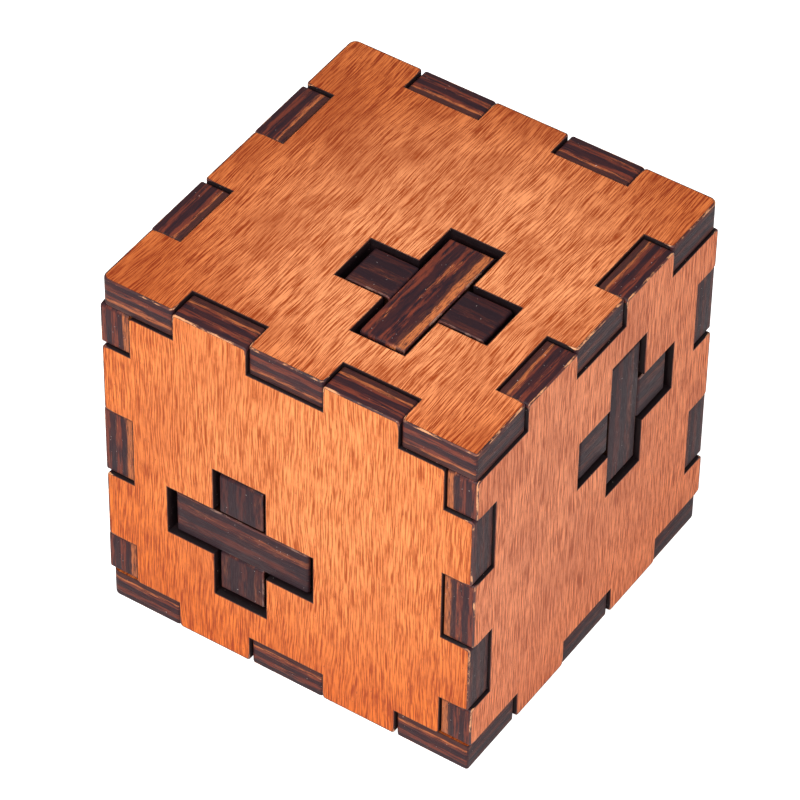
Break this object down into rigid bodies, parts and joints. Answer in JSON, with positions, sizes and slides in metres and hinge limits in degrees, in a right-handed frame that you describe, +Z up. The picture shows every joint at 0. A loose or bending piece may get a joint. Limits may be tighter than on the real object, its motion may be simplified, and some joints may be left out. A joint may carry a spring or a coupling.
{
  "type": "wooden burr puzzle",
  "caption": "Cube-shaped wooden take-apart puzzle: finger-jointed plywood panels closed round thick boards that cross inside and show as a plus on each face.",
  "frame": {"origin": "centre of the bottom face", "axes": "+Z up, -Y out of the front face (the one with a level bar), +X out of the right face"},
  "size_m": [0.058, 0.058, 0.058],
  "materials": {
    "panel_plywood": "satin, stained, dark laser-cut edges",
    "board_plywood": "satin, stained, dark laser-cut edges"
  },
  "bodies": {
    "bottom_panel": {"bottom_panel": "panel_plywood"},
    "top_panel": {"top_panel": "panel_plywood"},
    "front_panel": {"front_panel": "panel_plywood"},
    "back_panel": {"back_panel": "panel_plywood"},
    "left_panel": {"left_panel": "panel_plywood"},
    "right_panel": {"right_panel": "panel_plywood"},
    "front_bar_board": {"front_bar_board": "board_plywood"},
    "front_slotted_board": {"front_slotted_board": "board_plywood"},
    "side_bar_board": {"side_bar_board": "board_plywood"},
    "side_slotted_board": {"side_slotted_board": "board_plywood"},
    "upright_bar_board": {"upright_bar_board": "board_plywood"},
    "upright_slotted_board": {"upright_slotted_board": "board_plywood"}
  },
  "joints": [
    {"name": "top_panel_pull", "type": "slide", "parent": "bottom_panel", "child": "top_panel", "axis": [0, 0, 1], "range_m": [0, 0.03]},
    {"name": "front_panel_pull", "type": "slide", "parent": "bottom_panel", "child": "front_panel", "axis": [0, -1, 0], "range_m": [0, 0.03]},
    {"name": "back_panel_pull", "type": "slide", "parent": "bottom_panel", "child": "back_panel", "axis": [0, 1, 0], "range_m": [0, 0.03]},
    {"name": "left_panel_pull", "type": "slide", "parent": "bottom_panel", "child": "left_panel", "axis": [-1, 0, 0], "range_m": [0, 0.03]},
    {"name": "right_panel_pull", "type": "slide", "parent": "bottom_panel", "child": "right_panel", "axis": [1, 0, 0], "range_m": [0, 0.03]},
    {"name": "front_bar_slide", "type": "slide", "parent": "bottom_panel", "child": "front_bar_board", "axis": [0, -1, 0], "range_m": [0, 0.06]},
    {"name": "side_bar_slide", "type": "slide", "parent": "bottom_panel", "child": "side_bar_board", "axis": [1, 0, 0], "range_m": [0, 0.06]},
    {"name": "side_slotted_slide", "type": "slide", "parent": "bottom_panel", "child": "side_slotted_board", "axis": [-1, 0, 0], "range_m": [0, 0.06]},
    {"name": "upright_bar_play", "type": "slide", "parent": "bottom_panel", "child": "upright_bar_board", "axis": [0, 0, 1], "range_m": [0, 0.0015]},
    {"name": "upright_slotted_play", "type": "slide", "parent": "bottom_panel", "child": "upright_slotted_board", "axis": [0, 0, 1], "range_m": [0, 0.0015]},
    {"name": "front_slotted_play", "type": "slide", "parent": "bottom_panel", "child": "front_slotted_board", "axis": [0, 1, 0], "range_m": [0, 0.0015]}
  ]
}
